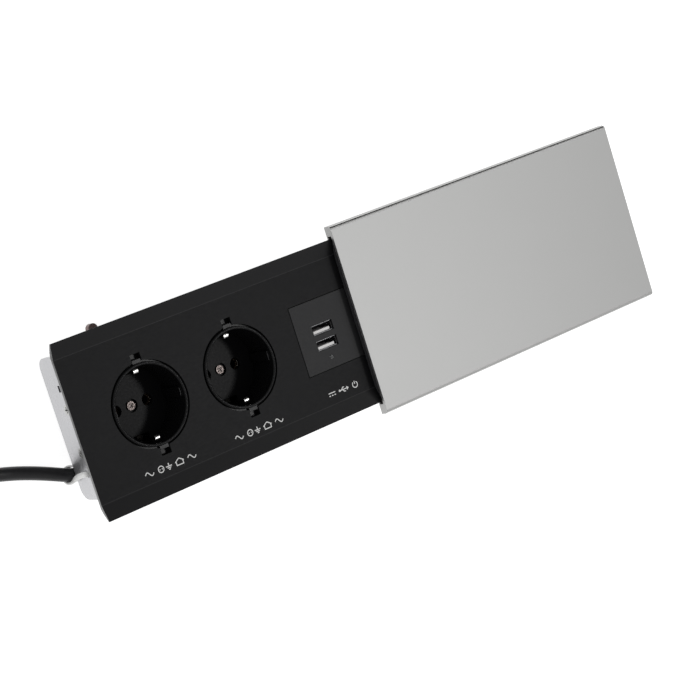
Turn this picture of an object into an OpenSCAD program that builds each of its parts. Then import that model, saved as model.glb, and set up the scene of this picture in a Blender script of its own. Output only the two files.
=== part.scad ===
// Desk power strip with a sliding lid, let into a desk top.
// Body coordinates: x from the left end of the top plate, y from its middle, z from its top face.
// The placed() module moves them so that the surface the unit stands on is z = 0.

/* [Top plate] */
// Length of the top plate
plate_l = 194; // [192:1:198]
// Width of the flat panel between the two raised wings
panel_w = 73.6; // [73:0.2:75]
// Width over the tips of both wings
flange_w = 90.2; // [89.6:0.2:91]
// Height of the wing tips over the panel
wing_rise = 2.7; // [2.5:0.1:2.8]
// Thickness of the panel
plate_t = 1.8; // [1.6:0.1:2]

/* [Lid] */
// Length of the lid
lid_l = 206; // [204:1:208]
// Width of the lid
lid_w = 103.6; // [103:0.2:105]
// Height of the lid's top face over the panel
lid_top = 5.4; // [5.2:0.1:6]
// Place of the lid's near end when it is open
lid_open_x = 172.4; // [171:0.2:173]
// Thickness of the lid's metal
lid_t = 1.6; // [1.2:0.1:1.7]
// Width of the solid rail along each of the lid's long edges
rail_w = 5.4; // [5:0.1:5.6]

/* [Sockets] */
// Place of the first socket's centre
socket_x = 42.7; // [42.5:0.1:43]
// Distance between the socket centres
socket_pitch = 55.2; // [54.8:0.1:55.6]
// Radius of the round well that takes a plug
well_r = 19.6; // [19.5:0.05:19.7]
// Depth of the well below the panel
well_depth = 19.5; // [19:0.1:19.8]
// Distance between the two pin holes
pin_pitch = 19; // [18.9:0.1:19.1]
// Radius of a pin hole
pin_hole_r = 2.8; // [2.6:0.05:2.9]

/* [USB module] */
// Place of the module's centre
usb_x = 154.4; // [154.2:0.1:154.6]
// Side of the square face
usb_side = 37.3; // [37:0.1:37.4]
// Width of one port's window
port_w = 13.3; // [13.2:0.1:13.4]
// Height of one port's window
port_h = 5.2; // [5.2:0.05:5.3]

/* [Housing] */
// Width of the housing under the plate
housing_w = 61; // [60.6:0.2:61]
// Depth from the panel's top to the surface that the unit stands on
stand_h = 45; // [45:0.5:48]
// Thickness of the housing's walls
wall = 2; // [1.8:0.1:2]

/* [End plates] */
// Width of an end plate
end_w = 73.8; // [73:0.2:74]
// Depth of an end plate's lower edge below the panel
end_depth = 34.2; // [33.8:0.1:34.3]
// Thickness of an end plate
end_t = 2.5; // [2:0.1:2.5]
// Distance from the end of the top plate to the end plate
end_inset = 8.7; // [8.5:0.1:8.8]

/* [Mounting clamps] */
// Place of the first clamp along the body
clamp_x = 35; // [34:0.5:37]
// Reach of a claw from its screw
claw_reach = 11.6; // [10:0.2:11.8]
// Height of a claw's top below the panel
claw_z = 17; // [15:0.5:20]

/* [Cord] */
// Diameter of the power cord
cord_d = 7; // [6.8:0.1:7]
// Radius of the coil's outer turn
coil_r = 50.6; // [50:0.2:51]
// Turns in one layer of the coil
coil_turns = 2.458; // [2.4:0.01:2.5]

/* [Hidden] */
$fn = 64;
mid_x = (lid_open_x + lid_l) / 2;
eps = 0.01;
half_panel = panel_w / 2;
half_flange = flange_w / 2;
sockets = [socket_x, socket_x + socket_pitch];
rim_r = well_r + 1.5;
panel_hole_r = well_r + 2.4;
cup_r = well_r + 1.6;
floor_t = 2.4;
cup_z = well_depth + floor_t;
head_z = well_depth + 1.5;
carrier_z = cup_z + 1;
carrier_h = 12.1;
bar_z = carrier_z + carrier_h + 0.2;
bar_t = 1.2;
bar_terminals = [[71, -9.5], [70, 9.5], [118, -9.5], [118, 9.5]];
earth_terminal = [76, 14.5];
terminal_r = 1;
seat_d = 0.3;
ports_y = [3, -5.4];
port_x = usb_x - 1.7;
led_y = -13.1;
board_z = 14.4;
board_t = 1.6;
usb_post = 15;
house_x0 = 16;
house_x1 = plate_l - 16;
house_z = stand_h - 2;
half_house = housing_w / 2;
notch_x = 44;
notch_y = -18.5;
notch_z = 27;
cord_y = -24.7;
cord_h = 7;
cord_z = stand_h - cord_h;
relief_l = 24;
end_screw_y = [10.2, -12.2];
end_screw_z = 17.2;
tie_slot_y = [20.7, -23.5];
tie_z = 21;
clamp_y = 34;
clamps = [[clamp_x, clamp_y, 0], [plate_l - clamp_x + 2, -clamp_y, 180]];
clamp_bore_r = 2.08;
cover_screws_at = [[21, -13.5], [21, 25.5], [house_x1 - 5, 25.5], [house_x1 - 5, -25.5]];
stop_pin_x = lid_open_x + 5.9;
clip_t = 0.5;
coil_in_r = coil_r - cord_d * coil_turns;
tie_w = 5;
plug_r = 18.5;
plug_thick = 22;
boot_root = 2;
boot_l = 29;

// The cord from its strain relief to the coil: x, y, and height over the surface
lead_route = [
    [20, -24.7, 7], [14, -24.6, 7], [8.5, -23.7, 6.8], [2.8, -21.3, 6.2], [-4, -18.2, 5],
    [-11, -15.3, 4.1], [-18.5, -12.6, 3.7], [-26.2, -10.3, 3.5], [-37, -7.3, 3.5],
    [-49, -4.1, 3.6], [-61, -0.9, 3.8], [-73, 2.4, 4], [-86, 5.9, 4]
];
// The cord from the coil to the plug
tail_route = [
    [-59.8, 5.9, 11], [-67.5, 3.8, 11], [-75, 1.8, 10.7], [-83, -0.3, 9.9], [-91, -2.5, 8.8],
    [-100, -4.9, 8]
];
// Direction of the cord where it runs into the coil, and again where the plug takes it
cord_turn = 15;
lead_end = lead_route[len(lead_route) - 1];
tail_end = tail_route[len(tail_route) - 1];
coil_at = [lead_end[0] + coil_r * sin(cord_turn), lead_end[1] + coil_r * cos(cord_turn)];
boot_reach = plug_r - boot_root + boot_l;
plug_at = [tail_end[0] - boot_reach * cos(cord_turn), tail_end[1] - boot_reach * sin(cord_turn)];

// ---- shared shapes ----

module placed() {
    translate([-mid_x, 0, stand_h]) children();
}

module on_surface() {
    translate([-mid_x, 0, 0]) children();
}

module along_x(x0, l) {
    translate([x0, 0, 0]) rotate([90, 0, 90]) linear_extrude(height = l) children();
}

module box_between(a, b) {
    translate(a) cube(b - a);
}

module both_sides() {
    children();
    mirror([0, 1, 0]) children();
}

module tube(r_out, r_in, h) {
    difference() {
        cylinder(r = r_out, h = h);
        translate([0, 0, -1]) cylinder(r = r_in, h = h + 2);
    }
}

// A screw with its head's underside at z = 0 and its shank below
module screw(head_r, head_h, shank_r, shank_l, slot_w = 0.7) {
    difference() {
        cylinder(r = head_r, h = head_h);
        for (turn = [0, 90])
            rotate(turn) translate([-head_r * 0.6, -slot_w / 2, head_h * 0.4])
                cube([head_r * 1.2, slot_w, head_h]);
    }
    translate([0, 0, -shank_l]) cylinder(r = shank_r, h = shank_l + eps);
}

function unit(v) = v / norm(v);
function heading(p, i) =
    unit(p[min(i + 1, len(p) - 1)] - p[max(i - 1, 0)]);
function ring_at(p, i, r, sides) =
    let (d = heading(p, i), side = unit(cross([0, 0, 1], d)), up = cross(d, side))
    [for (k = [0 : sides - 1]) p[i] + r * (cos(360 * k / sides) * side + sin(360 * k / sides) * up)];

// A round wire or cord of radius r along the points p
module sweep(p, r, sides = 8) {
    rings = len(p);
    points = [for (i = [0 : rings - 1]) each ring_at(p, i, r, sides)];
    skin = [
        for (i = [0 : rings - 2], k = [0 : sides - 1])
            [i * sides + k, (i + 1) * sides + k,
             (i + 1) * sides + (k + 1) % sides, i * sides + (k + 1) % sides]
    ];
    near_cap = [for (k = [0 : sides - 1]) k];
    far_cap = [for (k = [sides - 1 : -1 : 0]) (rings - 1) * sides + k];
    polyhedron(points = points, faces = concat(skin, [near_cap, far_cap]));
}

// ---- top plate and lid ----

module plate_profile() {
    polygon([
        [-half_flange, wing_rise], [-half_panel, 0], [half_panel, 0], [half_flange, wing_rise],
        [half_flange, wing_rise - 0.7], [half_panel + 4.2, -0.7], [half_panel + 1.7, -plate_t],
        [-half_panel - 1.7, -plate_t], [-half_panel - 4.2, -0.7], [-half_flange, wing_rise - 0.7]
    ]);
}

// The notches beside the socket holes, and the seats that the end plates are let into
module plate_notches() {
    for (x = sockets, side = [-1, 1])
        translate([x - 2.9, side * 23.75 - 2.25, -5]) cube([5.8, 4.5, 10]);
    for (x = [end_inset, house_x1])
        translate([x, -half_flange, -plate_t - 1])
            cube([house_x0 - end_inset, flange_w, 1 + seat_d]);
}

module top_plate() placed() color("#232426") difference() {
    along_x(0, plate_l) plate_profile();
    for (x = sockets) translate([x, 0, -5]) cylinder(r = panel_hole_r, h = 10);
    plate_notches();
    translate([usb_x - usb_side / 2 - 0.3, -usb_side / 2 - 0.3, -5])
        cube([usb_side + 0.6, usb_side + 0.6, 10]);
    for (y = [-30, 30]) translate([stop_pin_x, y, -5]) cylinder(r = 1, h = 10);
}

module lid_profile() {
    edge_r = 2.3;
    half = lid_w / 2;
    difference() {
        union() {
            translate([-half + edge_r, -0.1]) square([lid_w - 2 * edge_r, lid_top + 0.1]);
            translate([-half, -0.1]) square([lid_w, lid_top + 0.1 - edge_r]);
            for (y = [-half + edge_r, half - edge_r])
                translate([y, lid_top - edge_r]) circle(r = edge_r);
        }
        translate([-half + rail_w, 0.8]) square([lid_w - 2 * rail_w, lid_top - lid_t - 0.8]);
        translate([-half_flange + 1.3, -1]) square([flange_w - 2.6, 3]);
    }
}

module lid() placed() color("#b4b4b0")
    along_x(lid_open_x, lid_l) lid_profile();

module end_bar_profile() {
    polygon([
        [-36, 0.9], [36, 0.9], [44, 3.3], [44, lid_top - lid_t], [-44, lid_top - lid_t], [-44, 3.3]
    ]);
}

module lid_end_bars() placed() color("#161617") {
    along_x(lid_open_x + 0.3, 3.6) end_bar_profile();
    along_x(lid_open_x + lid_l - 5.4, 5.1) end_bar_profile();
}

module lid_glides() placed() color("#2b2b2d") both_sides()
    along_x(lid_open_x + 4.2, lid_l - 9.9) polygon([
        [half_flange + 0.3, 0.8], [lid_w / 2 - rail_w, 0.8], [lid_w / 2 - rail_w, lid_top - lid_t],
        [half_flange - 3, lid_top - lid_t], [half_flange - 3, 3.05], [half_flange + 0.3, 3.05]
    ]);

module lid_stop_pins() placed() color("#8d8d8f") for (y = [-30, 30])
    translate([stop_pin_x, y, -plate_t]) {
        cylinder(r = 1, h = plate_t + 0.4);
        translate([0, 0, plate_t]) cylinder(r = 1.5, h = 1.6);
    }

// ---- sockets ----

module insert_shape() {
    difference() {
        union() {
            translate([0, 0, -cup_z]) cylinder(r = cup_r, h = cup_z - plate_t);
            rotate_extrude() polygon([
                [well_r - 1, -3], [rim_r, -3], [rim_r, 0.2], [rim_r - 0.3, 0.5], [rim_r - 0.8, 0.6],
                [well_r + 0.25, 0.5], [well_r, 0.25], [well_r - 1, 0.25]
            ]);
            translate([0, 0, -plate_t - 1.6]) cylinder(r = panel_hole_r + 1.3, h = 1.6);
            for (side = [-1, 1]) {
                translate([-4.5, side * 24 - 3, -plate_t - 3.1]) cube([9, 6, 1.6]);
                translate([-2.5, side * 21.7 - 1.3, -plate_t - 1]) cube([5, 2.6, plate_t + 0.6]);
            }
        }
        translate([0, 0, -well_depth]) cylinder(r = well_r, h = well_depth + 2);
        for (side = [-1, 1]) {
            translate([side * pin_pitch / 2, 0, -cup_z - 1]) cylinder(r = pin_hole_r, h = 5);
            translate([side * pin_pitch / 2, 0, -well_depth - 0.4])
                cylinder(r1 = pin_hole_r, r2 = pin_hole_r + 0.4, h = 0.41, $fn = 48);
            translate([-4.5, side * 17.15 - 1.95, -cup_z - 1]) cube([9, 3.9, 5]);
        }
        translate([0, 0, -cup_z - 1]) cylinder(r = 1.5, h = 5);
        translate([0, 0, -head_z]) cylinder(r = 3.4, h = 3);
    }
    for (side = [-1, 1])
        translate([side * (well_r - 0.5) - 0.7, -2.5, -well_depth]) cube([1.4, 5, well_depth - 1.5]);
}

module socket_insert_1() placed() color("#111112")
    translate([sockets[0], 0, 0]) insert_shape();

module socket_insert_2() placed() color("#111112")
    translate([sockets[1], 0, 0]) insert_shape();

module earth_clip_shape() {
    difference() {
        translate([-3, -17.9, -cup_z - 1]) cube([6, 35.8, 1]);
        translate([0, 0, -cup_z - 2]) cylinder(r = 1.5, h = 3);
    }
    both_sides() along_x(-1.9, 3.8) polygon([
        [17.4, -cup_z - 0.2], [17.9, -cup_z - 0.2], [18.8, -11], [16.7, -5.6], [16.7, -4.9],
        [18.7, -3], [18.3, -2.6], [16.3, -4.2], [15.9, -4.8], [16, -5.7], [18.2, -11]
    ]);
}

module earth_clip_1() placed() color("#c9b27a")
    translate([sockets[0], 0, 0]) earth_clip_shape();

module earth_clip_2() placed() color("#c9b27a")
    translate([sockets[1], 0, 0]) earth_clip_shape();

module socket_screws() placed() color("#b9bbbd") for (x = sockets)
    translate([x, 0, -head_z]) rotate(30) screw(2.3, 0.9, 1.5, 12);

module carrier_shape() {
    difference() {
        translate([-16, -8.5, -carrier_z - carrier_h]) cube([32, 17, carrier_h]);
        for (side = [-1, 1])
            translate([side * pin_pitch / 2, 0, -carrier_z - 20]) cylinder(r = 3.4, h = 30);
        translate([0, 0, -carrier_z - 20]) cylinder(r = 1.5, h = 30);
    }
}

module contact_carrier_1() placed() color("#e9e6dc")
    translate([sockets[0], 0, 0]) carrier_shape();

module contact_carrier_2() placed() color("#e9e6dc")
    translate([sockets[1], 0, 0]) carrier_shape();

// A bus bar with a contact sleeve under one pin hole of each socket
module pin_bar(side, x_end) {
    first = sockets[0] + side * pin_pitch / 2;
    last = sockets[1] + side * pin_pitch / 2;
    difference() {
        union() {
            for (x = [first, last]) {
                translate([x, 0, -bar_z]) cylinder(r = 3.3, h = carrier_h);
                translate([x - 3.5, min(-side * 12, side * 3.5), -bar_z - bar_t])
                    cube([7, 15.5, bar_t]);
            }
            translate([first - 3.5, side > 0 ? -12 : 7, -bar_z - bar_t])
                cube([x_end - first + 3.5, 5, bar_t]);
        }
        for (x = [first, last])
            translate([x, 0, -bar_z - 5]) cylinder(r = 2.45, h = 30);
        for (at = bar_terminals)
            translate([at[0], at[1], -bar_z - 5]) cylinder(r = terminal_r, h = 10);
    }
}

module live_bar() placed() color("#c08a52")
    pin_bar(-1, 124);

module neutral_bar() placed() color("#c08a52")
    pin_bar(1, 124);

module earth_bar() placed() color("#c9b27a") difference() {
    box_between([sockets[0] - 3, 12, -cup_z - 2], [sockets[1] + 5, 17, -cup_z - 1]);
    translate([earth_terminal[0], earth_terminal[1], -cup_z - 3]) cylinder(r = terminal_r, h = 3);
}

module terminal_screws() placed() color("#b9bbbd") {
    for (at = bar_terminals)
        translate([at[0], at[1], -bar_z]) screw(2.2, 1.4, terminal_r, 1);
    translate([earth_terminal[0], earth_terminal[1], -cup_z - 1]) screw(2.2, 1.4, terminal_r, 0.9);
}

// ---- USB module ----

module usb_faceplate() placed() color("#141415") {
    half = usb_side / 2;
    difference() {
        union() {
            box_between([usb_x - half, -half, -plate_t - eps], [usb_x + half, half, 0.15]);
            box_between([usb_x - 20.5, -20.5, -plate_t - 1.8], [usb_x + 20.5, 20.5, -plate_t]);
        }
        for (y = ports_y)
            translate([port_x - port_w / 2, y - port_h / 2, -6]) cube([port_w, port_h, 8]);
        translate([port_x, led_y, -6]) cylinder(r = 1.2, h = 8);
    }
    for (x = [-usb_post, usb_post], y = [-usb_post, usb_post])
        translate([usb_x + x, y, -board_z]) tube(2, 0.9, board_z - plate_t - 1.8 + eps);
}

module port_shell(y) {
    difference() {
        translate([port_x - port_w / 2 + 0.1, y - port_h / 2 + 0.05, -board_z])
            cube([port_w - 0.2, port_h - 0.1, board_z - 0.9]);
        translate([port_x - port_w / 2 + 0.45, y - port_h / 2 + 0.4, -board_z + 0.5])
            cube([port_w - 0.9, port_h - 0.8, board_z]);
    }
}

module usb_port_shell_1() placed() color("#c7c9cb") port_shell(ports_y[0]);

module usb_port_shell_2() placed() color("#c7c9cb") port_shell(ports_y[1]);

module port_tongue(y)
    box_between([port_x - 5.3, y - 2.05, -board_z + 0.5], [port_x + 5.3, y - 0.55, -1.7]);

module usb_tongue_1() placed() color("#d8d6d0") port_tongue(ports_y[0]);

module usb_tongue_2() placed() color("#d8d6d0") port_tongue(ports_y[1]);

module usb_board() placed() color("#1f6b3a") difference() {
    box_between([usb_x - 17, -17, -board_z - board_t], [usb_x + 17, 17, -board_z]);
    for (x = [-usb_post, usb_post], y = [-usb_post, usb_post])
        translate([usb_x + x, y, -board_z - 3]) cylinder(r = 0.9, h = 5);
}

module usb_board_screws() placed() color("#b9bbbd")
    for (x = [-usb_post, usb_post], y = [-usb_post, usb_post])
        translate([usb_x + x, y, -board_z - board_t]) mirror([0, 0, 1]) screw(1.8, 1.2, 0.9, 5, 0.5);

module usb_transformer() placed() color("#e0c33a") {
    top = -board_z - board_t;
    box_between([usb_x + 1, 1, top - 12], [usb_x + 15, 12, top - 3]);
    box_between([usb_x - 0.5, -0.5, top - 3], [usb_x + 16.5, 13, top]);
    box_between([usb_x + 4, -1, top - 13], [usb_x + 12, 14, top - 3]);
}

module usb_capacitors() placed() color("#2a3550")
    for (at = [[-10.5, 8.5, 4.2, 15], [-11, -2.5, 3.2, 12], [2, -9, 4.2, 13]])
        translate([usb_x + at[0], at[1], -board_z - board_t - at[3]])
            cylinder(r = at[2], h = at[3]);

module usb_chips() placed() color("#1b1b1d")
    for (at = [[9, -11], [11, -6], [-8.5, -13]])
        translate([usb_x + at[0], at[1], -board_z - board_t - 1.4]) cube([5, 3.6, 1.4]);

module usb_indicator() placed() color("#e8f0f2")
    translate([port_x, led_y, -board_z]) cylinder(r = 1.1, h = board_z + 0.2);

// ---- housing ----

module notch_block(grow) {
    translate([house_x0 - 1, -half_house - 1, -stand_h - 1])
        cube([notch_x + grow - house_x0 + 1, notch_y + grow + half_house + 1,
              stand_h + 1 - notch_z + grow]);
}

module clamp_lug(z_top, h) {
    for (c = clamps)
        translate([c[0], c[1], z_top - h]) rotate(c[2]) difference() {
            union() {
                translate([-3.5, half_house - clamp_y, 0]) cube([7, clamp_y - half_house, h]);
                cylinder(r = 3.5, h = h);
            }
            translate([0, 0, -1]) cylinder(r = clamp_bore_r, h = h + 2);
            translate([-5, half_house - clamp_y - 5, -1]) cube([10, 5, h + 2]);
        }
}

module housing() placed() color("#1d1d1f") {
    difference() {
        box_between([house_x0, -half_house, -house_z], [house_x1, half_house, -plate_t]);
        difference() {
            box_between([house_x0 + wall, -half_house + wall, -house_z - 1],
                        [house_x1 - wall, half_house - wall, 0]);
            notch_block(wall);
        }
        notch_block(0);
        translate([notch_x - 1, cord_y, -cord_z]) rotate([0, 90, 0]) cylinder(r = 4.4, h = 5);
    }
    for (at = cover_screws_at)
        translate([at[0], at[1], -house_z]) tube(3, 1.2, 16);
    for (y = end_screw_y, x = [end_inset + end_t, house_x1 - eps])
        translate([x, y, -end_screw_z]) rotate([0, 90, 0])
            tube(3.5, 1.5, house_x0 - end_inset - end_t + eps);
    difference() {
        box_between([50, -half_house + wall - eps, -cord_z + 0.3], [57, -13.5, -cord_z + 9]);
        translate([49, cord_y, -cord_z]) rotate([0, 90, 0]) cylinder(r = cord_d / 2, h = 9);
        translate([53.5, -17, -cord_z - 1]) cylinder(r = 1.2, h = 8);
    }
    clamp_lug(-6, 4);
    clamp_lug(-stand_h + 7, 3.5);
}

module bottom_cover() placed() color("#1d1d1f") difference() {
    box_between([house_x0, -half_house, -stand_h], [house_x1, half_house, -house_z]);
    notch_block(0);
    for (at = cover_screws_at) {
        translate([at[0], at[1], -stand_h - 1]) cylinder(r = 1.2, h = 5);
        translate([at[0], at[1], -stand_h - 1]) cylinder(r = 2.6, h = 2);
    }
}

module cover_screws() placed() color("#8d8d8f") for (at = cover_screws_at)
    translate([at[0], at[1], -stand_h + 1]) mirror([0, 0, 1]) screw(2.5, 0.9, 1.2, 9);

module end_plate_shape(x_face, outward) {
    corner = 6;
    top = -plate_t + seat_d;
    tab_x = outward < 0 ? x_face + end_t - eps : x_face - 4.3;
    difference() {
        union() {
            box_between([x_face, -end_w / 2, -end_depth + corner], [x_face + end_t, end_w / 2, top]);
            box_between([x_face, -end_w / 2 + corner, -end_depth],
                        [x_face + end_t, end_w / 2 - corner, top]);
            for (y = [-end_w / 2 + corner, end_w / 2 - corner])
                translate([x_face, y, -end_depth + corner]) rotate([0, 90, 0])
                    cylinder(r = corner, h = end_t);
            box_between([tab_x, -28, -plate_t - 2], [tab_x + 4.3 + eps, 28, top]);
        }
        for (y = end_screw_y)
            translate([x_face - 1, y, -end_screw_z]) rotate([0, 90, 0])
                cylinder(r = 1.5, h = end_t + 2);
        for (y = tie_slot_y)
            translate([x_face - 1, y - 1.7, -tie_z - 1]) cube([end_t + 2, 3.4, 2]);
    }
}

module end_plate_left() placed() color("#c6c8ca")
    end_plate_shape(end_inset, -1);

module end_plate_right() placed() color("#c6c8ca")
    end_plate_shape(plate_l - end_inset - end_t, 1);

module end_plate_screws() placed() color("#b9bbbd") for (y = end_screw_y) {
    translate([end_inset, y, -end_screw_z]) rotate([0, -90, 0]) screw(2.7, 1.7, 1.5, 7.2);
    translate([plate_l - end_inset, y, -end_screw_z]) rotate([0, 90, 0]) screw(2.7, 1.7, 1.5, 7.2);
}

module cord_clamp() placed() color("#d9d7cf") difference() {
    box_between([50.2, -27.9, -house_z + 0.3], [56.8, -13.7, -cord_z - 0.3]);
    translate([49, cord_y, -cord_z]) rotate([0, 90, 0]) cylinder(r = cord_d / 2, h = 9);
    translate([53.5, -17, -house_z - 1]) cylinder(r = 1.2, h = 8);
    translate([53.5, -17, -house_z - 1]) cylinder(r = 2.4, h = 2.6);
}

module cord_clamp_screw() placed() color("#b9bbbd")
    translate([53.5, -17, -house_z + 1.6]) mirror([0, 0, 1]) screw(2.2, 1.1, 1.2, 8);

// Tapered sleeve moulded on the cord. Its inner collar is flat towards the housing's side and floor.
module strain_relief() placed() color("#19191a") difference() {
    translate([notch_x, cord_y, -cord_z]) rotate([0, -90, 0]) rotate_extrude() polygon([
        [0, -13.4], [cord_d / 2, -13.4], [cord_d / 2, -4.5], [5.6, -4.5], [5.6, -wall],
        [4.4, -wall], [4.4, 0], [5.8, 0], [5.8, 1.5], [5.2, 2.5], [4, relief_l], [0, relief_l]
    ]);
    box_between([notch_x + wall, cord_y - 9, -stand_h], [notch_x + 20, -half_house + wall, 0]);
    box_between([notch_x + wall, cord_y - 9, -stand_h - 1], [notch_x + 20, cord_y + 9, -house_z]);
}

// ---- leads inside the housing ----

module live_lead() placed() color("#7a4a25")
    sweep([[58, -24.7, -36.2], [64, -23, -36.2], [70, -18, -39.4], [75, -6, -40.2],
           [79, 4, -39.4], [80, 9.5, -37.9]], 1.2);

module neutral_lead() placed() color("#2f5fa8")
    sweep([[58, -22.6, -39.3], [62, -21, -39.6], [64.5, -15, -39.4], [65, -9.5, -37.9]], 1.2);

module earth_lead() placed() color("#8aa52f")
    sweep([[58, -26.6, -39.3], [64, -26.6, -39.8], [71, -24.5, -37], [74.5, -20, -30],
           [76, -16, -26.2], [76, -6, -24.9], [76, 4, -24.9], [76, 14.5, -25.15]], 1.2);

module usb_live_lead() placed() color("#7a4a25")
    sweep([[116, 9.5, -37.9], [126, 9.5, -38], [134, 9, -34], [136, 6, -26], [139, 3.5, -21],
           [140.4, 2.8, -18], [140.5, 2.8, -16.05]], 1.2);

module usb_neutral_lead() placed() color("#2f5fa8")
    sweep([[116, -9.5, -37.9], [126, -9.5, -38], [134, -9.5, -34], [136.5, -9.5, -26],
           [139.5, -8.8, -21], [140.9, -8.6, -18], [141, -8.6, -16.05]], 1.2);

// ---- mounting clamps ----

module at_clamp(c) {
    placed() translate([c[0], c[1], 0]) rotate(c[2]) children();
}

module clamp_screw_shape() {
    lug_under = -stand_h + 7 - 3.5;
    translate([0, 0, lug_under - 0.1]) mirror([0, 0, 1]) screw(3.4, 2.6, 2, -lug_under - 5, 0.9);
}

module clamp_clip_shape()
    translate([0, 0, -stand_h + 7.1]) tube(3.2, 2, 0.7);

module claw_shape() {
    tip_r = 2.6;
    reach = claw_reach - tip_r;
    difference() {
        translate([0, 0, -claw_z - 4]) union() {
            cylinder(r = 3.2, h = 4);
            translate([-tip_r, 0, 0]) cube([2 * tip_r, reach, 3.4]);
            translate([0, reach, 0]) cylinder(r = tip_r, h = 3.4);
            for (y = [5.5, 7.5, 9.5]) translate([-2.2, y - 0.4, 3.3]) cube([4.4, 0.8, 0.7]);
        }
        translate([0, 0, -claw_z - 10]) cylinder(r = clamp_bore_r, h = 20);
    }
}

module clamp_screw_a() color("#a9a9a6") at_clamp(clamps[0]) clamp_screw_shape();

module clamp_screw_b() color("#a9a9a6") at_clamp(clamps[1]) clamp_screw_shape();

module clamp_clip_a() color("#5b5b5e") at_clamp(clamps[0]) clamp_clip_shape();

module clamp_clip_b() color("#5b5b5e") at_clamp(clamps[1]) clamp_clip_shape();

module clamp_claw_a() color("#6d5a55") at_clamp(clamps[0]) claw_shape();

module clamp_claw_b() color("#6d5a55") at_clamp(clamps[1]) claw_shape();

// ---- cord, coil and plug ----

module power_cord() on_surface() color("#18181a")
    sweep(lead_route, cord_d / 2, 12);

module cord_tail() on_surface() color("#18181a")
    sweep(tail_route, cord_d / 2, 12);

module cord_coil() on_surface() color("#18181a") translate([coil_at[0], coil_at[1], clip_t])
    rotate_extrude($fn = 96) {
        inner = coil_in_r - cord_d / 2;
        outer = coil_r + cord_d / 2;
        translate([inner, cord_d / 2]) square([outer - inner, cord_d]);
        translate([inner + cord_d / 2, 0]) square([outer - inner - cord_d, 2 * cord_d]);
        for (r = [inner, outer - cord_d], z = [0, cord_d])
            translate([r + cord_d / 2, z + cord_d / 2]) circle(r = cord_d / 2, $fn = 32);
    }

module coil_ties() on_surface() color("#1c1c1e") for (turn = [20, 160])
    translate([coil_at[0], coil_at[1], 0]) rotate(turn) difference() {
        inner = coil_in_r - cord_d / 2;
        outer = coil_r + cord_d / 2;
        box_between([inner - clip_t, -tie_w / 2, 0],
                    [outer + clip_t, tie_w / 2, 2 * cord_d + 2 * clip_t]);
        box_between([inner, -tie_w, clip_t], [outer, tie_w, 2 * cord_d + clip_t]);
    }

// White tie: a ring round the cord, a strip up to the end plate's slot, and the head behind it
module cable_tie() placed() color("#e8e8e6") {
    tie_y = tie_slot_y[1];
    translate([6, -22.7, -stand_h + 6.55]) rotate([0, -90, -23]) translate([0, 0, -1.5])
        tube(4.5, cord_d / 2 + 0.05, 3);
    box_between([7.4, tie_y - 1.5, -stand_h + 10.4], [8.6, tie_y + 1.5, -tie_z + 0.6]);
    box_between([5, tie_y - 1.5, -stand_h + 10.4], [8.6, tie_y + 1.5, -stand_h + 11.4]);
    box_between([7.4, tie_y - 1.5, -tie_z - 0.6], [12.2, tie_y + 1.5, -tie_z + 0.6]);
    box_between([11.5, tie_y - 2.5, -tie_z - 2.4], [15, tie_y + 2.5, -tie_z + 2.4]);
}

// The plug lies on its flat back, pins up, and the cord leaves its side
module at_plug() {
    on_surface() translate([plug_at[0], plug_at[1], 0]) rotate(180 + cord_turn) children();
}

module plug_body() color("#18181a") at_plug() {
    difference() {
        union() {
            rotate_extrude() polygon([
                [0, 0], [plug_r - 3, 0], [plug_r - 0.9, 1], [plug_r, 3.4], [plug_r, plug_thick - 1.2],
                [plug_r - 1.2, plug_thick], [0, plug_thick]
            ]);
            translate([-plug_r + boot_root, 0, tail_end[2]]) rotate([0, -90, 0])
                cylinder(r1 = 7.4, r2 = 4.2, h = boot_l);
        }
        for (side = [-1, 1]) {
            translate([side * (plug_r - 0.9) - 2, -3, 5]) cube([4, 6, plug_thick]);
            translate([-3.2, side * (plug_r - 0.5) - 0.8, 6]) cube([6.4, 1.6, plug_thick]);
        }
    }
}

module plug_pins() color("#d4d6d8") at_plug() for (side = [-1, 1])
    translate([0, side * pin_pitch / 2, plug_thick - eps]) rotate_extrude() polygon([
        [0, 0], [2.4, 0], [2.4, 17.6], [1.9, 18.6], [1.1, 19], [0, 19]
    ]);

module plug_earth_strips() color("#c9b27a") at_plug() for (side = [-1, 1])
    translate([-2.9, side * (plug_r - 0.9) - 0.4, 6.2]) cube([5.8, 0.8, plug_thick - 8]);

// ---- the nodes ----

top_plate();
lid();
lid_end_bars();
lid_glides();
lid_stop_pins();
socket_insert_1();
socket_insert_2();
earth_clip_1();
earth_clip_2();
socket_screws();
contact_carrier_1();
contact_carrier_2();
live_bar();
neutral_bar();
earth_bar();
terminal_screws();
usb_faceplate();
usb_port_shell_1();
usb_port_shell_2();
usb_tongue_1();
usb_tongue_2();
usb_board();
usb_board_screws();
usb_transformer();
usb_capacitors();
usb_chips();
usb_indicator();
housing();
bottom_cover();
cover_screws();
end_plate_left();
end_plate_right();
end_plate_screws();
cord_clamp();
cord_clamp_screw();
strain_relief();
live_lead();
neutral_lead();
earth_lead();
usb_live_lead();
usb_neutral_lead();
clamp_screw_a();
clamp_clip_a();
clamp_claw_a();
clamp_screw_b();
clamp_clip_b();
clamp_claw_b();
power_cord();
cord_coil();
cord_tail();
coil_ties();
cable_tie();
plug_body();
plug_pins();
plug_earth_strips();
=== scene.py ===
import math

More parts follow.
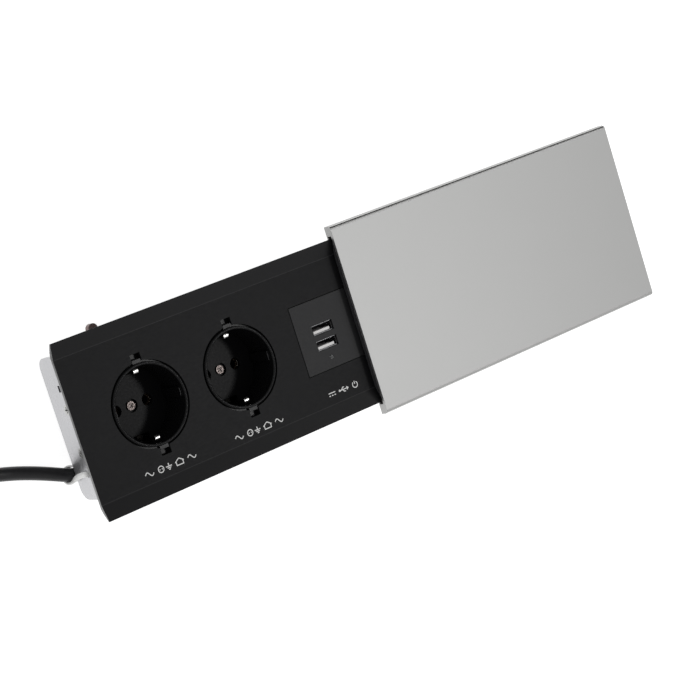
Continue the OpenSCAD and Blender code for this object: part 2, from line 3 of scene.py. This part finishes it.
import bmesh
import bpy
from mathutils import Euler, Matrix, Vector


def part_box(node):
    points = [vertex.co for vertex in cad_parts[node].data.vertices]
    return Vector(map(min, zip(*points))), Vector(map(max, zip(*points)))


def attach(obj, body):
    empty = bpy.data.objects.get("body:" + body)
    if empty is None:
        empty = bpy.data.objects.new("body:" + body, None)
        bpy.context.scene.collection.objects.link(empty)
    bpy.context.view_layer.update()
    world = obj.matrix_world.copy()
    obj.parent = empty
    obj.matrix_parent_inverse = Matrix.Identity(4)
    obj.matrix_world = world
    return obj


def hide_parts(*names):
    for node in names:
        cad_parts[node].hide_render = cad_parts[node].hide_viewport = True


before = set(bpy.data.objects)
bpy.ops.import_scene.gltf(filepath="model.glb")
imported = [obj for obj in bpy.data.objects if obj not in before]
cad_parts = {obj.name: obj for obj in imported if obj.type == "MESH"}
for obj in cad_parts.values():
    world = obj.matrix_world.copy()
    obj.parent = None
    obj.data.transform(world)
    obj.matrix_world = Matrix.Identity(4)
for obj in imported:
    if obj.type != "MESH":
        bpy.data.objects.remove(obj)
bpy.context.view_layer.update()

# ---- driving values -------------------------------------------------------

MM = 0.001
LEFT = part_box("top_plate")[0].x  # the top plate's left end
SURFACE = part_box("bottom_cover")[0].z  # what the unit stands on
PANEL = SURFACE + 45 * MM  # the panel's top face
FOLD_Y = 36.8 * MM  # where the side wings start, from the middle
WELLS = (42.7, 97.9)  # the middles of the socket wells, mm from the plate's left end
SEAM = 0.2 * MM  # half the width of a line in a material, and the softening of edges

CAMERA_AT = (-0.60347, 0.12631, 0.89294)
CAMERA_TURN = (4.403, -34.854, -21.238)  # degrees about X, Y and Z
CAMERA_LENS = 101.5

CORD_R = 3.5 * MM
COIL_R = 50.6 * MM  # outer turn of the coil
COIL_TURNS = 2.4583  # in each of its two layers
CORD_TURN = math.radians(15)

# The cord's route, as in the CAD with its lowest stretch 0.05 mm higher: mm from the plate's left end,
# from its middle, and over the surface
LEAD_ROUTE = [
    (20, -24.7, 7), (14, -24.6, 7), (8.5, -23.7, 6.8), (2.8, -21.3, 6.2), (-4, -18.2, 5),
    (-11, -15.3, 4.1), (-18.5, -12.6, 3.7), (-26.2, -10.3, 3.55), (-37, -7.3, 3.55),
    (-49, -4.1, 3.6), (-61, -0.9, 3.8), (-73, 2.4, 4), (-86, 5.9, 4),
]
TAIL_ROUTE = [
    (-59.8, 5.9, 11), (-67.5, 3.8, 11), (-75, 1.8, 10.7), (-83, -0.3, 9.9), (-91, -2.5, 8.8),
    (-100, -4.9, 8),
]


def over_surface(x, y, h):
    return Vector((LEFT + x * MM, y * MM, SURFACE + h * MM))


def on_body(x, y, z):
    return Vector((LEFT + x * MM, y * MM, PANEL + z * MM))


# ---- camera ---------------------------------------------------------------

scene = bpy.context.scene
camera = bpy.data.objects.new("camera", bpy.data.cameras.new("camera"))
camera.location = CAMERA_AT
camera.rotation_euler = Euler([math.radians(a) for a in CAMERA_TURN], "XYZ")
camera.data.lens = CAMERA_LENS
camera.data.sensor_width = 36
camera.data.clip_start = 0.05
scene.collection.objects.link(camera)
scene.camera = camera


# ---- mesh helpers ---------------------------------------------------------

def add_mesh(name, points, faces, material, body="strip_body", smooth_angle=35):
    mesh = bpy.data.meshes.new(name)
    mesh.from_pydata([tuple(p) for p in points], [], faces)
    mesh.validate()
    mesh.materials.append(material)
    piece = bpy.data.objects.new(name, mesh)
    scene.collection.objects.link(piece)
    mesh.shade_smooth()
    mesh.set_sharp_from_angle(angle=math.radians(smooth_angle))
    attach(piece, body)
    return piece


def spline(points, step):
    """A smooth line through the points, as Catmull-Rom pieces cut about every step."""
    ends = [2 * points[0] - points[1], *points, 2 * points[-1] - points[-2]]
    line = []
    for a, b, c, d in zip(ends, ends[1:], ends[2:], ends[3:]):
        cuts = max(1, round((c - b).length / step))
        for i in range(cuts):
            t = i / cuts
            line.append(0.5 * (2 * b + (c - a) * t + (2 * a - 5 * b + 4 * c - d) * t ** 2
                               + (3 * b - a - 3 * c + d) * t ** 3))
    return line + [points[-1]]


def frames_along(line):
    """A side vector for each point of the line, turned as little as possible from one to the next."""
    ahead = [(line[min(i + 1, len(line) - 1)] - line[max(i - 1, 0)]).normalized()
             for i in range(len(line))]
    side = ahead[0].cross(Vector((0, 0, 1))).normalized()
    sides = []
    for d in ahead:
        side = (side - side.dot(d) * d).normalized()
        sides.append((side, d.cross(side)))
    return sides


def sweep(line, outline, axes=None):
    """Points and faces of the outline, a list of (sideways, up), swept along the line."""
    count = len(outline)
    points, faces = [], []
    for p, (side, up) in zip(line, axes or frames_along(line)):
        points += [p + side * u + up * v for u, v in outline]
    for i in range(len(line) - 1):
        for k in range(count):
            a, b = i * count + k, i * count + (k + 1) % count
            faces.append((a, b, b + count, a + count))
    last = (len(line) - 1) * count
    faces.append(tuple(range(count - 1, -1, -1)))
    faces.append(tuple(range(last, last + count)))
    return points, faces


def lathe(start, along, profile, sides=48):
    """Points and faces of a profile, a list of (distance along, radius), turned about an axis."""
    side = along.orthogonal().normalized()
    up = along.cross(side)
    points, faces = [], []
    for far, radius in profile:
        points += [start + along * far + (side * u + up * v) * radius for u, v in ring(1, sides)]
    for i in range(len(profile) - 1):
        for k in range(sides):
            a, b = i * sides + k, i * sides + (k + 1) % sides
            faces.append((a, b, b + sides, a + sides))
    last = (len(profile) - 1) * sides
    faces.append(tuple(range(sides - 1, -1, -1)))
    faces.append(tuple(range(last, last + sides)))
    return points, faces


def ring(radius, sides):
    return [(radius * math.cos(2 * math.pi * k / sides), radius * math.sin(2 * math.pi * k / sides))
            for k in range(sides)]


# ---- materials ------------------------------------------------------------

def new_material(name):
    material = bpy.data.materials.new(name)
    material.use_nodes = True
    tree = material.node_tree
    return material, tree, tree.nodes["Principled BSDF"]


def noise(tree, scale, stretch=(1, 1, 1), detail=3.0, rough=0.55):
    where = tree.nodes.new("ShaderNodeTexCoord")
    mapping = tree.nodes.new("ShaderNodeMapping")
    mapping.inputs["Scale"].default_value = stretch
    texture = tree.nodes.new("ShaderNodeTexNoise")
    texture.inputs["Scale"].default_value = scale
    texture.inputs["Detail"].default_value = detail
    texture.inputs["Roughness"].default_value = rough
    tree.links.new(where.outputs["Object"], mapping.inputs["Vector"])
    tree.links.new(mapping.outputs["Vector"], texture.inputs["Vector"])
    return texture.outputs["Fac"]


def spread(tree, value, low, high, start=0.3, stop=0.7):
    ramp = tree.nodes.new("ShaderNodeMapRange")
    ramp.inputs["From Min"].default_value = start
    ramp.inputs["From Max"].default_value = stop
    ramp.inputs["To Min"].default_value = low
    ramp.inputs["To Max"].default_value = high
    tree.links.new(value, ramp.inputs["Value"])
    return ramp.outputs["Result"]


def blend_colours(tree, factor, low, high):
    mix = tree.nodes.new("ShaderNodeMix")
    mix.data_type = "RGBA"
    tree.links.new(factor, mix.inputs["Factor"])
    for socket, colour in (("A", low), ("B", high)):
        place = [s for s in mix.inputs if s.name == socket and s.type == "RGBA"][0]
        if hasattr(colour, "links"):
            tree.links.new(colour, place)
        else:
            place.default_value = (*colour, 1)
    return [s for s in mix.outputs if s.type == "RGBA"][0]


def maths(tree, operation, *values):
    """A maths node's result; each value is a number or another node's output."""
    node = tree.nodes.new("ShaderNodeMath")
    node.operation = operation
    for place, value in zip(node.inputs, values):
        if hasattr(value, "links"):
            tree.links.new(value, place)
        else:
            place.default_value = value
    return node.outputs["Value"]


def along(tree, axis):
    """The place on the object along one axis."""
    where = tree.nodes.new("ShaderNodeTexCoord")
    parts = tree.nodes.new("ShaderNodeSeparateXYZ")
    tree.links.new(where.outputs["Object"], parts.inputs["Vector"])
    return parts.outputs[axis]


def facing(tree, axis):
    """How much a face looks along one axis, either way, from 0 to 1."""
    geometry = tree.nodes.new("ShaderNodeNewGeometry")
    parts = tree.nodes.new("ShaderNodeSeparateXYZ")
    tree.links.new(geometry.outputs["True Normal"], parts.inputs["Vector"])
    return maths(tree, "ABSOLUTE", parts.outputs[axis])


def by_height(tree, low_at, high_at, low, high):
    """A value that follows the height over the panel, in mm."""
    return spread(tree, along(tree, "Z"), low, high, PANEL + low_at * MM, PANEL + high_at * MM)


def add_bump(tree, shader, height, strength, distance):
    """The grain, on edges that are softened a little."""
    soft = tree.nodes.new("ShaderNodeBevel")
    soft.samples = 4
    soft.inputs["Radius"].default_value = SEAM
    bump = tree.nodes.new("ShaderNodeBump")
    tree.links.new(soft.outputs["Normal"], bump.inputs["Normal"])
    bump.inputs["Strength"].default_value = strength
    bump.inputs["Distance"].default_value = distance
    tree.links.new(height, bump.inputs["Height"])
    tree.links.new(bump.outputs["Normal"], shader.inputs["Normal"])


def shade(value, factor):
    return tuple(min(1.0, c * factor) for c in value)


def finish_of(name, base, rough, metal=0.0, spread_of=0.12, grain=900, stretch=(1, 1, 1),
              bump=0.15, depth=0.02 * MM, rough_spread=0.06, gloss=0.5):
    """A surface with cloudy colour, uneven gloss and a fine grain."""
    material, tree, shader = new_material(name)
    cloud = noise(tree, 45, detail=4)
    tint = blend_colours(tree, cloud, shade(base, 1 - spread_of), shade(base, 1 + spread_of))
    tree.links.new(tint, shader.inputs["Base Color"])
    fine = noise(tree, grain, stretch, detail=5, rough=0.6)
    tree.links.new(spread(tree, fine, rough - rough_spread, rough + rough_spread),
                   shader.inputs["Roughness"])
    add_bump(tree, shader, fine, bump, depth)
    shader.inputs["Metallic"].default_value = metal
    shader.inputs["Specular IOR Level"].default_value = gloss
    return material


def black_anodised():
    """Fine black anodising, shinier on the wings, with a painted highlight line at their folds and a sawn
    left end.
    """
    material, tree, shader = new_material("black_anodised")
    fine = noise(tree, 1500, (0.35, 1, 1), detail=5, rough=0.65)
    cloud = noise(tree, 30, detail=3)
    black = blend_colours(tree, cloud, (0.0042, 0.0042, 0.0048), (0.0056, 0.0056, 0.0064))
    aside = maths(tree, "ABSOLUTE", along(tree, "Y"))
    # Painted highlight: the base colour is lighter in a thin line along each fold, where the crease catches
    # light.
    fold = maths(tree, "COMPARE", aside, FOLD_Y, SEAM)
    painted_fold_highlight = blend_colours(tree, fold, black, (0.020, 0.020, 0.021))
    near_end = maths(tree, "LESS_THAN", along(tree, "X"), LEFT + SEAM)
    sawn = maths(tree, "MULTIPLY", spread(tree, facing(tree, "X"), 0, 1, 0.9, 0.95), near_end)
    tree.links.new(blend_colours(tree, sawn, painted_fold_highlight, (0.22, 0.22, 0.22)), shader.inputs["Base Color"])
    tree.links.new(sawn, shader.inputs["Metallic"])
    tree.links.new(spread(tree, fine, 0.40, 0.50), shader.inputs["Roughness"])
    tree.links.new(spread(tree, aside, 0.125, 0.20, FOLD_Y - SEAM, FOLD_Y + SEAM),
                   shader.inputs["Specular IOR Level"])
    add_bump(tree, shader, fine, 0.25, 0.01 * MM)
    return material


def socket_plastic():
    """Glossy on the rim and the walls, finely textured on the floor of the well."""
    material = finish_of("gloss_black", (0.005, 0.005, 0.0055), 0.26, bump=0.05, rough_spread=0.03)
    tree = material.node_tree
    tree.links.new(by_height(tree, -18.5, -15, 0.035, 0.14),
                   tree.nodes["Principled BSDF"].inputs["Specular IOR Level"])
    return material


def clip_spring():
    """Bright plating on the knees of the earth clips, with painted shade that makes them dark further down.
    """
    material = finish_of("plated_spring", (0.90, 0.89, 0.87), 0.24, metal=1, spread_of=0.06)
    tree = material.node_tree
    colour = tree.nodes["Principled BSDF"].inputs["Base Color"]
    bright = colour.links[0].from_socket
    # Painted shade: below the knees, deep in the well, the plating blends to near black.
    tree.links.new(blend_colours(tree, by_height(tree, -8, -6, 0, 1), (0.03, 0.028, 0.025), bright), colour)
    return material


def lid_anodised():
    """Satin on the lid's faces, smoother on its 45 degree edges."""
    material = finish_of("silver_anodised", (0.445, 0.445, 0.44), 0.50, metal=1, spread_of=0.01,
                         grain=2600, stretch=(0.3, 1, 1), bump=0.04, depth=0.005 * MM, rough_spread=0.02)
    tree = material.node_tree
    roughness = tree.nodes["Principled BSDF"].inputs["Roughness"]
    satin = roughness.links[0].from_socket
    edge = maths(tree, "COMPARE", facing(tree, "Y"), 0.7, 0.2)
    mixed = spread(tree, edge, 0, 0.24, 0, 1)
    tree.links.new(satin, mixed.node.inputs["To Min"])
    tree.links.new(mixed, roughness)
    return material


def striped_lead():
    """Green and yellow sleeving in lengthwise stripes."""
    material, tree, shader = new_material("lead_green_yellow")
    where = tree.nodes.new("ShaderNodeTexCoord")
    bands = tree.nodes.new("ShaderNodeTexWave")
    bands.inputs["Scale"].default_value = 260
    bands.inputs["Distortion"].default_value = 0.6
    tree.links.new(where.outputs["Object"], bands.inputs["Vector"])
    stripes = spread(tree, bands.outputs["Fac"], 0, 1, 0.45, 0.55)
    tree.links.new(blend_colours(tree, stripes, (0.03, 0.22, 0.04), (0.75, 0.60, 0.03)),
                   shader.inputs["Base Color"])
    shader.inputs["Roughness"].default_value = 0.4
    return material


def circuit_board():
    """Green solder mask with the paler runs of copper under it."""
    material, tree, shader = new_material("board_green")
    where = tree.nodes.new("ShaderNodeTexCoord")
    brick = tree.nodes.new("ShaderNodeTexBrick")
    brick.inputs["Scale"].default_value = 260
    brick.inputs["Mortar Size"].default_value = 0.06
    brick.inputs["Color1"].default_value = (0.012, 0.11, 0.04, 1)
    brick.inputs["Color2"].default_value = (0.014, 0.13, 0.05, 1)
    brick.inputs["Mortar"].default_value = (0.05, 0.28, 0.11, 1)
    tree.links.new(where.outputs["Object"], brick.inputs["Vector"])
    tree.links.new(brick.outputs["Color"], shader.inputs["Base Color"])
    fine = noise(tree, 700)
    tree.links.new(spread(tree, fine, 0.2, 0.35), shader.inputs["Roughness"])
    return material


def clear_plastic():
    """Smoky clear plastic of the small indicator."""
    material, tree, shader = new_material("clear_indicator")
    cloud = noise(tree, 900)
    tree.links.new(blend_colours(tree, cloud, (0.030, 0.032, 0.034), (0.045, 0.047, 0.050)),
                   shader.inputs["Base Color"])
    shader.inputs["Roughness"].default_value = 0.12
    shader.inputs["Transmission Weight"].default_value = 0.35
    return material


silver_lid = lid_anodised()
silver_plate = finish_of("silver_plate", (0.53, 0.53, 0.545), 0.30, metal=0.9, spread_of=0.03,
                         grain=1200, stretch=(1, 0.08, 1), bump=0.12, depth=0.01 * MM, rough_spread=0.05)
black_plate = black_anodised()
gloss_black = socket_plastic()
matte_black = finish_of("matte_black", (0.010, 0.010, 0.011), 0.45, grain=1600, bump=0.35, gloss=0.24)
housing_black = finish_of("housing_black", (0.020, 0.020, 0.022), 0.50, grain=1100, bump=0.4)
bearing_grey = finish_of("bearing_grey", (0.035, 0.035, 0.038), 0.38)
zinc = finish_of("zinc", (0.50, 0.50, 0.49), 0.28, metal=1, spread_of=0.08, grain=1500, rough_spread=0.08)
dark_zinc = finish_of("dark_zinc", (0.16, 0.115, 0.11), 0.36, metal=0.9, spread_of=0.25, rough_spread=0.1)
spring_brass = finish_of("spring_brass", (0.72, 0.60, 0.36), 0.24, metal=1, spread_of=0.08)
plated_spring = clip_spring()
copper = finish_of("copper", (0.12, 0.085, 0.06), 0.30, metal=1, spread_of=0.15)
nickel = finish_of("nickel", (0.72, 0.72, 0.71), 0.20, metal=1, spread_of=0.04)
dull_steel = finish_of("dull_steel", (0.10, 0.085, 0.08), 0.20, metal=1, spread_of=0.3, grain=650, bump=0.7,
                       depth=0.3 * MM)
dark_nickel = finish_of("dark_nickel", (0.16, 0.16, 0.165), 0.30, metal=1, spread_of=0.06)
tongue_grey = finish_of("tongue_grey", (0.86, 0.85, 0.84), 0.35, spread_of=0.04)
ivory = finish_of("ivory_plastic", (0.76, 0.73, 0.65), 0.45)
cord_black = finish_of("cord_black", (0.011, 0.011, 0.0125), 0.40, spread_of=0.15, grain=700, bump=0.25,
                       gloss=0.38)
lead_brown = finish_of("lead_brown", (0.16, 0.06, 0.025), 0.38)
lead_blue = finish_of("lead_blue", (0.02, 0.09, 0.36), 0.38)
tape_yellow = finish_of("transformer_tape", (0.75, 0.52, 0.06), 0.35)
sleeve_blue = finish_of("capacitor_sleeve", (0.03, 0.05, 0.13), 0.25)
chip_black = finish_of("chip_black", (0.02, 0.02, 0.022), 0.55, bump=0.4)
tie_white = finish_of("tie_white", (0.80, 0.80, 0.79), 0.35, spread_of=0.03, grain=500, bump=0.2)
tie_black = finish_of("tie_black", (0.018, 0.018, 0.02), 0.32)
print_white = finish_of("print_white", (0.72, 0.72, 0.71), 0.5, spread_of=0.05)
green_yellow = striped_lead()
board_green = circuit_board()
clear = clear_plastic()

FINISH = {
    "top_plate": black_plate, "lid": silver_lid, "lid_end_bars": bearing_grey,
    "lid_glides": bearing_grey, "lid_stop_pins": zinc, "socket_insert_1": gloss_black,
    "socket_insert_2": gloss_black, "earth_clip_1": plated_spring, "earth_clip_2": plated_spring,
    "socket_screws": dull_steel, "contact_carrier_1": ivory, "contact_carrier_2": ivory,
    "live_bar": copper, "neutral_bar": copper, "earth_bar": spring_brass, "terminal_screws": zinc,
    "usb_faceplate": matte_black, "usb_port_shell_1": dark_nickel, "usb_port_shell_2": dark_nickel,
    "usb_tongue_1": tongue_grey, "usb_tongue_2": tongue_grey, "usb_board": board_green,
    "usb_board_screws": zinc, "usb_transformer": tape_yellow, "usb_capacitors": sleeve_blue,
    "usb_chips": chip_black, "usb_indicator": clear, "housing": housing_black,
    "bottom_cover": housing_black, "cover_screws": zinc, "end_plate_left": silver_plate,
    "end_plate_right": silver_plate, "end_plate_screws": zinc, "cord_clamp": ivory,
    "cord_clamp_screw": zinc, "strain_relief": cord_black, "live_lead": lead_brown,
    "neutral_lead": lead_blue, "earth_lead": green_yellow, "usb_live_lead": lead_brown,
    "usb_neutral_lead": lead_blue, "clamp_screw_a": zinc, "clamp_clip_a": zinc,
    "clamp_claw_a": dark_zinc, "clamp_screw_b": zinc, "clamp_clip_b": zinc,
    "clamp_claw_b": dark_zinc, "cable_tie": tie_white, "coil_ties": tie_black,
    "plug_body": cord_black, "plug_pins": nickel, "plug_earth_strips": spring_brass,
    "power_cord": cord_black, "cord_coil": cord_black, "cord_tail": cord_black,
}
for name, material in FINISH.items():
    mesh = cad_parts[name].data
    mesh.materials.clear()
    mesh.materials.append(material)


# ---- the cord -------------------------------------------------------------

def coil_line(step):
    """Two layers of turns: the lower winds in, the cord climbs, and the upper winds out."""
    start = over_surface(*LEAD_ROUTE[-1])
    centre = start + Vector((math.sin(CORD_TURN), math.cos(CORD_TURN), 0)) * COIL_R
    low, high = start.z, over_surface(*TAIL_ROUTE[0]).z
    pitch, climb = 2 * CORD_R, 0.16
    first = -math.pi / 2 - CORD_TURN
    cuts = round(2 * COIL_TURNS * 2 * math.pi * (COIL_R - pitch) / step)
    line = []
    for i in range(cuts + 1):
        turn = 2 * COIL_TURNS * i / cuts
        radius = COIL_R - pitch * min(turn, 2 * COIL_TURNS - turn)
        rise = min(max((turn - COIL_TURNS + climb) / climb, 0), 1)
        z = low + (high - low) * rise * rise * (3 - 2 * rise)
        angle = first - 2 * math.pi * turn
        line.append(Vector((centre.x + radius * math.cos(angle),
                            centre.y + radius * math.sin(angle), z)))
    return line


def mains_cord():
    step = 2 * MM
    lead = spline([over_surface(*p) for p in LEAD_ROUTE], step)
    tail = spline([over_surface(*p) for p in TAIL_ROUTE], step)
    line = lead[:-1] + coil_line(step)[:-1] + tail
    points, faces = sweep(line, ring(CORD_R, 20))
    cord = add_mesh("mains_cord", points, faces, cord_black)
    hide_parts("power_cord", "cord_coil", "cord_tail")
    return cord, line


cord, cord_line = mains_cord()


# ---- earth clips ----------------------------------------------------------

def earth_clip(number, x):
    """One springy strip: under the well's floor, up both walls, with a knee near each top."""
    half = [(18.4, -4.5), (17.8, -4.2), (17, -4.2), (16.3, -4.7), (16.05, -5.4), (16.3, -6.3), (17.2, -8.4),
            (18.2, -11), (18.1, -14), (17.7, -19), (17.6, -21.4), (17.2, -22.2), (16.4, -22.4)]
    across = half + [(-y, z) for y, z in reversed(half)]
    line = spline([on_body(x, y, z) for y, z in across], 0.4 * MM)
    axes = []
    for i in range(len(line)):
        ahead = (line[min(i + 1, len(line) - 1)] - line[max(i - 1, 0)]).normalized()
        axes.append((Vector((1, 0, 0)), Vector((1, 0, 0)).cross(ahead)))
    half_w, half_t = 1.35 * MM, 0.22 * MM
    outline = [(half_w, -half_t), (half_w, half_t), (-half_w, half_t), (-half_w, -half_t)]
    points, faces = sweep(line, outline, axes)
    piece = add_mesh(f"earth_strip_{number}", points, faces, plated_spring)
    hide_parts(f"earth_clip_{number}")


for clip_number, well in enumerate(WELLS, 1):
    earth_clip(clip_number, well)


# ---- strain relief, cable tie and printed marks ---------------------------

def strain_relief():
    """Ribbed sleeve from the housing's wall (x = 44) towards the cord's free part."""
    profile = [(-13.4, 0.1), (-13.4, 3.5), (-4.5, 3.5), (-4.5, 3.7), (-2, 3.7), (-2, 4.3), (0, 4.3),
               (0, 5.4), (0.3, 5.75), (1.2, 5.75), (1.5, 5.5), (2.5, 5.2)]
    for i in range(8):
        root = 5.15 - 0.145 * i
        at = 3.2 + 2.5 * i
        profile += [(at, root), (at + 0.15, root - 0.6), (at + 0.9, root - 0.65), (at + 1.05, root - 0.05)]
    profile += [(23.6, 3.95), (24, 3.6), (24, 0.1)]
    points, faces = lathe(over_surface(44, -24.7, 7), Vector((-1, 0, 0)),
                          [(a * MM, r * MM) for a, r in profile])
    piece = add_mesh("relief_sleeve", points, faces, cord_black, smooth_angle=40)
    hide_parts("strain_relief")


def cable_tie():
    """A strap out of the end plate's slot, round the cord and back, with its head behind the plate."""
    route = [  # x, y, height, and the direction of the strap's width
        ((13, -23.5, 24), (0, 1, 0)), ((10, -23.5, 24), (0, 1, 0)), ((8.1, -23.4, 23.6), (0, 1, 0)),
        ((7.7, -23.5, 21.5), (0, 1, -0.1)), ((7.6, -24.1, 17), (0.1, 1, -0.25)),
        ((7.2, -25.3, 12.4), (0.5, 0.9, -0.35)), ((6.5, -26.6, 9.3), (0.9, 0.45, -0.2)),
        ((6, -27, 6.6), (0.95, -0.1, 0)), ((6.2, -25.9, 3.7), (0.93, -0.3, 0)),
        ((7, -23.2, 2.35), (0.93, -0.3, 0)), ((8.2, -20.4, 3.2), (0.93, -0.3, 0)),
        ((9.6, -19.4, 6.2), (0.95, -0.2, 0)), ((11, -19.8, 10), (0.8, 0.5, 0)),
        ((12.2, -21.2, 14), (0.3, 1, 0)), ((13, -22.8, 19), (0, 1, 0)), ((13.2, -23.4, 22.5), (0, 1, 0)),
    ]
    line = spline([over_surface(*at) for at, _ in route], 0.6 * MM)
    wide = spline([Vector(w) for _, w in route], 1)
    axes = []
    for i, p in enumerate(line):
        ahead = (line[min(i + 1, len(line) - 1)] - line[max(i - 1, 0)]).normalized()
        spot = i / (len(line) - 1) * (len(wide) - 1)
        near = wide[int(spot)].lerp(wide[min(int(spot) + 1, len(wide) - 1)], spot - int(spot))
        side = (near - near.dot(ahead) * ahead).normalized()
        axes.append((side, side.cross(ahead)))
    half_w, half_t, cut = 1.45 * MM, 0.5 * MM, 0.25 * MM
    outline = [(half_w, cut - half_t), (half_w, half_t - cut), (half_w - cut, half_t),
               (cut - half_w, half_t), (-half_w, half_t - cut), (-half_w, cut - half_t),
               (cut - half_w, -half_t), (half_w - cut, -half_t)]
    points, faces = sweep(line, outline, axes)
    strap = add_mesh("tie_strap", points, faces, tie_white, smooth_angle=50)
    head = bpy.data.meshes.new("tie_head")
    tool = bmesh.new()
    bmesh.ops.create_cube(tool, size=1)
    bmesh.ops.scale(tool, vec=(3.4 * MM, 5 * MM, 4.6 * MM), verts=tool.verts)
    bmesh.ops.translate(tool, vec=over_surface(13.3, -23.5, 24), verts=tool.verts)
    bmesh.ops.bevel(tool, geom=tool.edges, offset=0.5 * MM, segments=3, profile=0.5, affect="EDGES")
    tool.to_mesh(head)
    tool.free()
    head.materials.append(tie_white)
    block = bpy.data.objects.new("tie_head", head)
    scene.collection.objects.link(block)
    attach(block, "strip_body")
    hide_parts("cable_tie")


def arc(x, y, r, start, stop, cuts=16):
    return [(x + r * math.cos(math.radians(start + (stop - start) * i / cuts)),
             y + r * math.sin(math.radians(start + (stop - start) * i / cuts))) for i in range(cuts + 1)]


def wave(x, y, length, height):
    return [(x + length * i / 20, y + height * math.sin(2 * math.pi * i / 20)) for i in range(21)]


def printed_mark(name, x, y, strokes, line_w=0.5):
    """White printing on the panel: each stroke is a run of points in mm."""
    points, faces = [], []
    for layer, stroke in enumerate(strokes):
        run = [Vector((*p, 0)) for p in stroke]
        for i, p in enumerate(run):
            ahead = (run[min(i + 1, len(run) - 1)] - run[max(i - 1, 0)]).normalized()
            side = Vector((-ahead.y, ahead.x, 0)) * line_w / 2
            for corner in (p - side, p + side):
                points.append(on_body(x + corner.x, y + corner.y, 0.01 + 0.002 * layer))
            if i:
                last = len(points) - 4
                faces.append((last, last + 2, last + 3, last + 1))
    add_mesh(name, points, faces, print_white)


def marks():
    """Plain symbols in place of the printed lettering: mains and direct current, earthed, dry rooms."""
    mains = [
        wave(0, 0, 5, 1.1), arc(9.3, 0, 1.6, 0, 360), [(8.3, 0), (8.9, 0)], [(9.7, 0), (10.3, 0)],
        [(14, 1.6), (14, 0)], [(12.2, 0), (15.8, 0)], [(12.9, -0.8), (15.1, -0.8)],
        [(13.5, -1.6), (14.5, -1.6)], [(18.4, 0.3), (18.4, -1.6)], [(18.2, -1.5), (22.6, -1.5)],
        [(22.4, -1.6), (22.4, 0.3)], [(17.8, 0.1), (20.4, 1.8)], [(20.4, 1.8), (23, 0.1)],
        wave(25.4, 0, 5, 1.1),
    ]
    direct = [
        [(0, 0.7), (4.4, 0.7)], [(0, -0.7), (1, -0.7)], [(1.7, -0.7), (2.7, -0.7)],
        [(3.4, -0.7), (4.4, -0.7)], [(7.4, 0), (13, 0)], arc(7.2, 0, 0.4, 0, 360, 8),
        [(13, 0), (11.9, 0.8)], [(13, 0), (11.9, -0.8)], [(8.4, 0), (9.6, 1.2)],
        [(9.5, 1.2), (10.4, 1.2)], [(9.2, 0), (10.1, -1.2)], [(10, -1.2), (10.9, -1.2)],
        arc(17.6, 0, 1.6, 125, 415), [(17.6, 0.3), (17.6, 1.9)],
    ]
    printed_mark("socket_mark_1", 27.5, -31.9, mains)
    printed_mark("socket_mark_2", 82.2, -32.8, mains)
    printed_mark("usb_mark", 143.8, -31.3, direct)


strain_relief()
cable_tie()
marks()


# ---- studio ---------------------------------------------------------------

def soft_light(name, at, towards, size, power):
    light = bpy.data.lights.new(name, "AREA")
    light.shape = "RECTANGLE"
    light.size, light.size_y = size
    light.energy = power
    lamp = bpy.data.objects.new(name, light)
    lamp.location = at
    lamp.rotation_euler = (Vector(towards) - Vector(at)).to_track_quat("-Z", "Y").to_euler()
    scene.collection.objects.link(lamp)


def white_floor(half=6.0):
    """A pale floor that gives off light, so that it stays white with only faint shadows."""
    mesh = bpy.data.meshes.new("floor")
    mesh.from_pydata([(-half, -half, SURFACE), (half, -half, SURFACE), (half, half, SURFACE),
                      (-half, half, SURFACE)], [], [(0, 1, 2, 3)])
    paper = finish_of("floor_white", (0.55, 0.55, 0.55), 0.8, spread_of=0.01)
    shader = paper.node_tree.nodes["Principled BSDF"]
    shader.inputs["Emission Color"].default_value = (1, 1, 1, 1)
    shader.inputs["Emission Strength"].default_value = 0.86
    mesh.materials.append(paper)
    floor = bpy.data.objects.new("floor", mesh)
    scene.collection.objects.link(floor)


def grey_room():
    """Even light from all sides but one, which the lid's far edge mirrors."""
    world = bpy.data.worlds.new("studio")
    world.use_nodes = True
    tree = world.node_tree
    where = tree.nodes.new("ShaderNodeTexCoord")
    towards = tree.nodes.new("ShaderNodeVectorMath")
    towards.operation = "DOT_PRODUCT"
    towards.inputs[1].default_value = (0.56, 0.82, 0.13)  # the dark side of the room
    fade = tree.nodes.new("ShaderNodeMapRange")
    fade.interpolation_type = "SMOOTHSTEP"
    for name, value in (("From Min", 0.55), ("From Max", 0.88), ("To Min", 0.62), ("To Max", 0.0)):
        fade.inputs[name].default_value = value
    tree.links.new(where.outputs["Generated"], towards.inputs[0])
    tree.links.new(towards.outputs["Value"], fade.inputs["Value"])
    tree.links.new(fade.outputs["Result"], tree.nodes["Background"].inputs["Strength"])
    tree.nodes["Background"].inputs["Color"].default_value = (1, 1, 1, 1)
    scene.world = world


white_floor()
grey_room()
soft_light("key", (0.63, -0.19, 1.35), (0, 0, 0.03), (0.2, 0.2), 2.4)
soft_light("front", (0.50, -0.55, 0.75), (0.1, -0.1, 0.05), (0.4, 0.4), 0.5)
soft_light("back", (0.80, 0.44, 0.92), (0.05, 0, 0.05), (0.35, 0.35), 1.5)
scene.view_settings.view_transform = "Standard"
